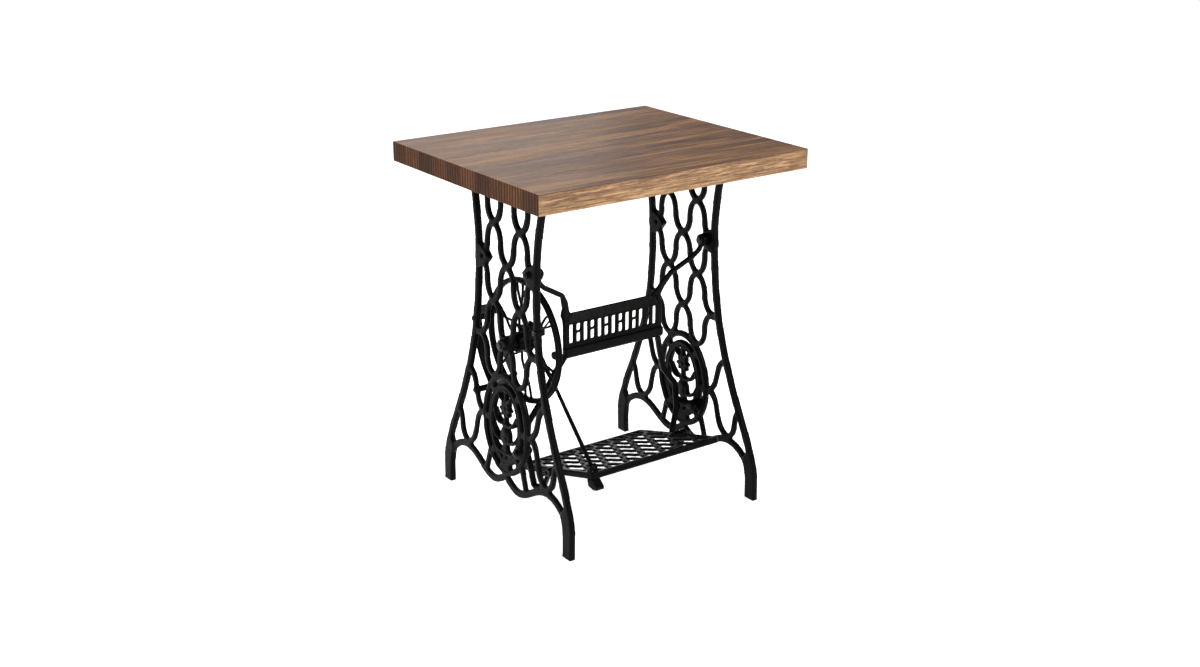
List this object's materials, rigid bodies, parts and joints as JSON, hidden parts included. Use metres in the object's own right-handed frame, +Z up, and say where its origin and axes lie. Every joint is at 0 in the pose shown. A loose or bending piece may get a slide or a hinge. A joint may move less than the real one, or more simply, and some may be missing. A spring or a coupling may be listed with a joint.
{
  "type": "treadle sewing machine stand",
  "caption": "Cast-iron treadle stand with openwork end frames, cross brace, turning band wheel, rocking treadle with a pitman rod, and a thick flat wooden top.",
  "frame": {"origin": "on the floor, under the middle of the wooden top", "axes": "+Z up, +Y to the rear, -Y to the operator, +X to the side that carries the band wheel"},
  "size_m": [0.635, 0.533, 0.75],
  "materials": {
    "wood": "oiled, slightly worn",
    "black_iron": "black japanned casting, semi-gloss",
    "dark_steel": "darkened and oiled",
    "bearing_brass": "dull"
  },
  "bodies": {
    "stand": {"table_top": "wood", "top_screws": "dark_steel", "end_frame_wheel_side": "black_iron", "end_frame_far_side": "black_iron", "cross_brace": "black_iron", "brace_bolts": "dark_steel", "brace_washers": "dark_steel", "brace_nuts": "dark_steel", "wheel_stud": "dark_steel", "thrust_washer": "dark_steel", "stud_lock_washer": "dark_steel", "stud_lock_nut": "dark_steel", "dress_guard": "black_iron", "guard_screws": "dark_steel", "treadle_pivot_screws": "dark_steel", "treadle_pivot_nuts": "dark_steel", "belt_shifter_bracket": "black_iron", "belt_shifter_pin": "dark_steel", "belt_shifter_screw": "dark_steel"},
    "wheel": {"band_wheel": "black_iron", "wheel_bush": "bearing_brass", "crank_pin": "dark_steel"},
    "treadle": {"treadle_plate": "black_iron", "pitman_bracket": "black_iron", "bracket_foot": "black_iron", "bracket_bolt": "dark_steel", "pitman_lower_pin": "dark_steel"},
    "pitman": {"pitman_rod": "dark_steel", "pitman_cap": "black_iron", "pitman_cap_screws": "dark_steel", "pitman_bush": "bearing_brass", "pitman_end_nut": "dark_steel"},
    "belt_shifter": {"belt_shifter_lever": "dark_steel", "belt_shifter_knob": "dark_steel"}
  },
  "joints": [
    {"name": "wheel_spin", "type": "hinge", "parent": "stand", "child": "wheel", "pos_m": [0.1825, 0, 0.375], "axis": [1, 0, 0], "continuous": true},
    {"name": "treadle_rock", "type": "hinge", "parent": "stand", "child": "treadle", "pos_m": [0, 0.072, 0.11], "axis": [1, 0, 0], "range_deg": [-29, 1.4]},
    {"name": "pitman_swing", "type": "hinge", "parent": "treadle", "child": "pitman", "pos_m": [0.153, 0.19365, 0.16101], "axis": [1, 0, 0], "range_deg": [-6, 22]},
    {"name": "belt_shifter_turn", "type": "hinge", "parent": "stand", "child": "belt_shifter", "pos_m": [0.205, 0.0915, 0.431], "axis": [1, 0, 0], "range_deg": [-12, 12]}
  ],
  "couplings": [
    {"joint": "pitman_swing", "follows": "treadle_rock", "ratio": -0.7}
  ]
}
